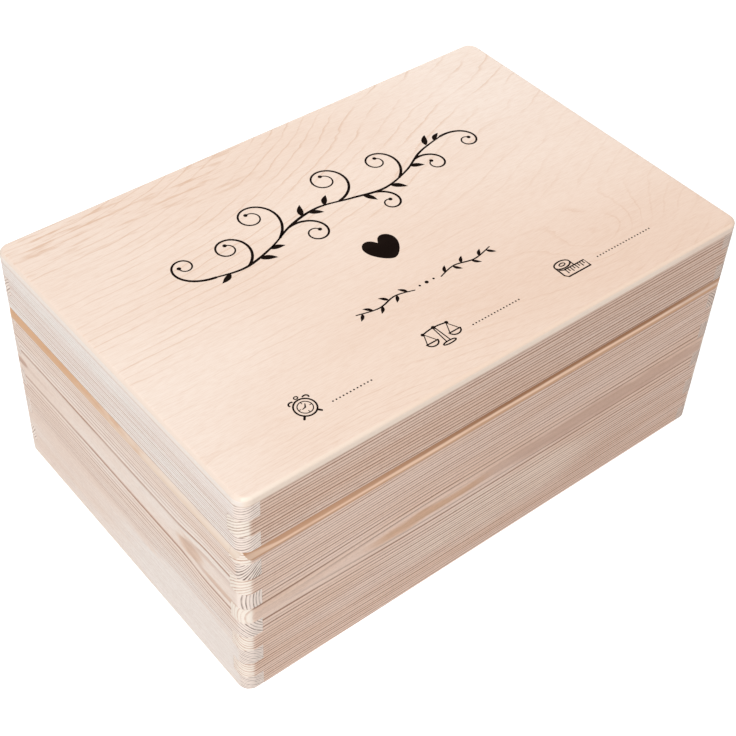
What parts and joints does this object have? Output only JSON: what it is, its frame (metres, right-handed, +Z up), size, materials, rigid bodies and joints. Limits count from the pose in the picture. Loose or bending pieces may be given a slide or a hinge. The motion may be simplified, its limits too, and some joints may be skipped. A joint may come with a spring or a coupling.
{
  "type": "keepsake box",
  "caption": "Rectangular finger-jointed pine box with rounded upright corners, a slanted grip groove under the lid, and a hinged plywood-topped lid.",
  "frame": {"origin": "middle of the flat base that the box stands on", "axes": "+X along the front to the right, +Y from the front to the hinged back, +Z up"},
  "size_m": [0.3, 0.198, 0.1351],
  "materials": {
    "pine": "raw sanded pine, fine growth-ring lines along each board, ring arcs on the finger ends",
    "birch_plywood": "raw sanded pale veneer with faint flowing figure, three plies at the edge",
    "hinge_brass": "satin brass plate",
    "screw_brass": "satin brass plate",
    "print_ink": "matt black ink printed on the lid"
  },
  "bodies": {
    "box_body": {"body_front_board": "pine", "body_back_board": "pine", "body_left_board": "pine", "body_right_board": "pine", "bottom_panel": "birch_plywood", "left_hinge_body_leaf": "hinge_brass", "right_hinge_body_leaf": "hinge_brass", "left_hinge_pin": "hinge_brass", "right_hinge_pin": "hinge_brass", "body_hinge_screws": "screw_brass"},
    "lid": {"lid_front_rail": "pine", "lid_back_rail": "pine", "lid_left_rail": "pine", "lid_right_rail": "pine", "lid_top_panel": "birch_plywood", "left_hinge_lid_leaf": "hinge_brass", "right_hinge_lid_leaf": "hinge_brass", "lid_hinge_screws": "screw_brass"}
  },
  "joints": [
    {"name": "lid_hinge", "type": "hinge", "parent": "box_body", "child": "lid", "pos_m": [0, 0.09745, 0.10105], "axis": [-1, 0, 0], "range_deg": [0, 102]}
  ]
}
